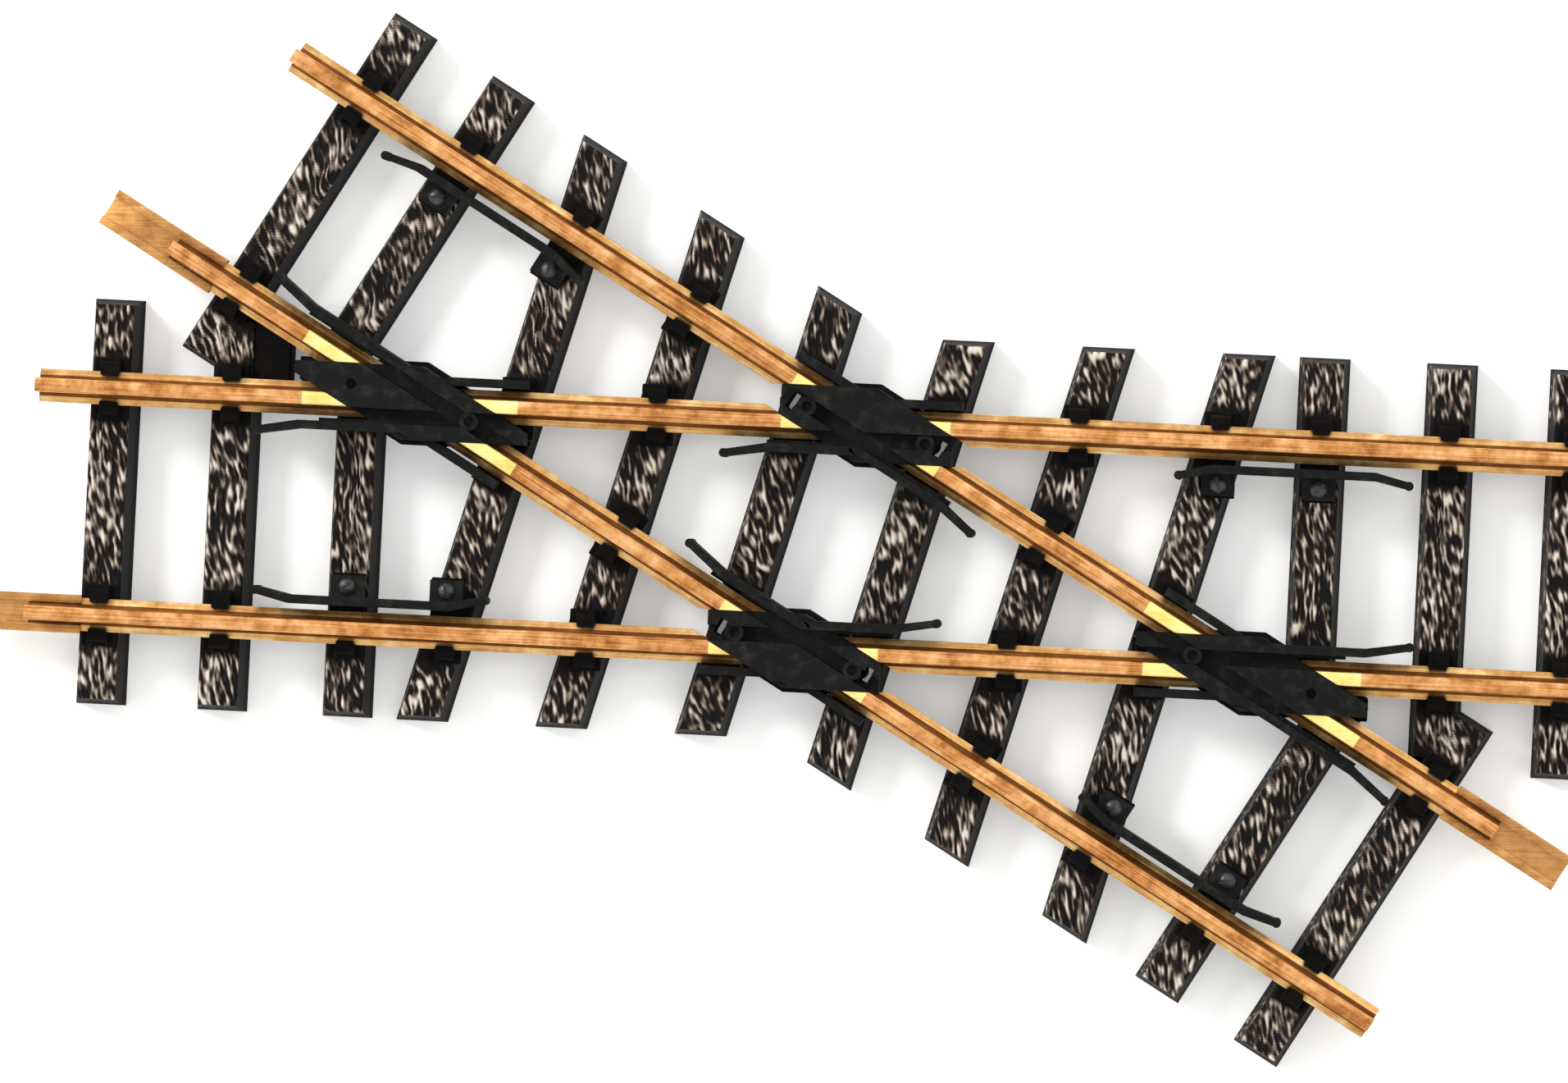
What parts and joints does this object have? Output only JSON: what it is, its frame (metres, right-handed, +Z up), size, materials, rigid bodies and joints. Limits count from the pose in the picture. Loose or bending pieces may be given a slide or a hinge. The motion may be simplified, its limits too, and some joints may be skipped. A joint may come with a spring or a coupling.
{
  "type": "model railway diamond crossing",
  "caption": "Fixed 30 degree diamond crossing for 45 mm gauge garden railway track, brass rails and black plastic frogs on wood-grained plastic ties.",
  "frame": {"origin": "centre of the crossing, on the underside of the ties", "axes": "+X along the longer track (track a), +Y to its left seen from above, +Z up; track b runs 30 degrees clockwise of +X"},
  "size_m": [0.3708, 0.2132, 0.0184],
  "materials": {
    "rail_brass": "drawn, slightly oxidised, with bright machined ends",
    "joiner_brass": "rolled sheet, folded",
    "strip_brass": "rolled sheet",
    "black_plastic": "moulded, satin",
    "tie_plastic": "moulded with a wood grain, matte",
    "screw_steel": "blackened steel"
  },
  "bodies": {
    "root": {"check_rail_a_left": "black_plastic", "check_rail_a_right": "black_plastic", "check_rail_b_left": "black_plastic", "check_rail_b_right": "black_plastic", "check_rail_screws": "screw_steel", "contact_strip_a_acute_left": "strip_brass", "contact_strip_a_acute_right": "strip_brass", "contact_strip_a_obtuse_lower": "strip_brass", "contact_strip_a_obtuse_upper": "strip_brass", "contact_strip_b_acute_left": "strip_brass", "contact_strip_b_acute_right": "strip_brass", "contact_strip_b_obtuse_lower": "strip_brass", "contact_strip_b_obtuse_upper": "strip_brass", "contact_strip_screws": "screw_steel", "frog_acute_left": "black_plastic", "frog_acute_right": "black_plastic", "frog_obtuse_lower": "black_plastic", "frog_obtuse_upper": "black_plastic", "frog_screws": "screw_steel", "joiner_a_left": "joiner_brass", "joiner_a_right": "joiner_brass", "joiner_b_left": "joiner_brass", "joiner_b_right": "joiner_brass", "rail_a_lower_left": "rail_brass", "rail_a_lower_middle": "rail_brass", "rail_a_lower_right": "rail_brass", "rail_a_upper_left": "rail_brass", "rail_a_upper_middle": "rail_brass", "rail_a_upper_right": "rail_brass", "rail_b_lower_left": "rail_brass", "rail_b_lower_middle": "rail_brass", "rail_b_lower_right": "rail_brass", "rail_b_upper_left": "rail_brass", "rail_b_upper_middle": "rail_brass", "rail_b_upper_right": "rail_brass", "tie_bed": "tie_plastic"}
  },
  "joints": []
}
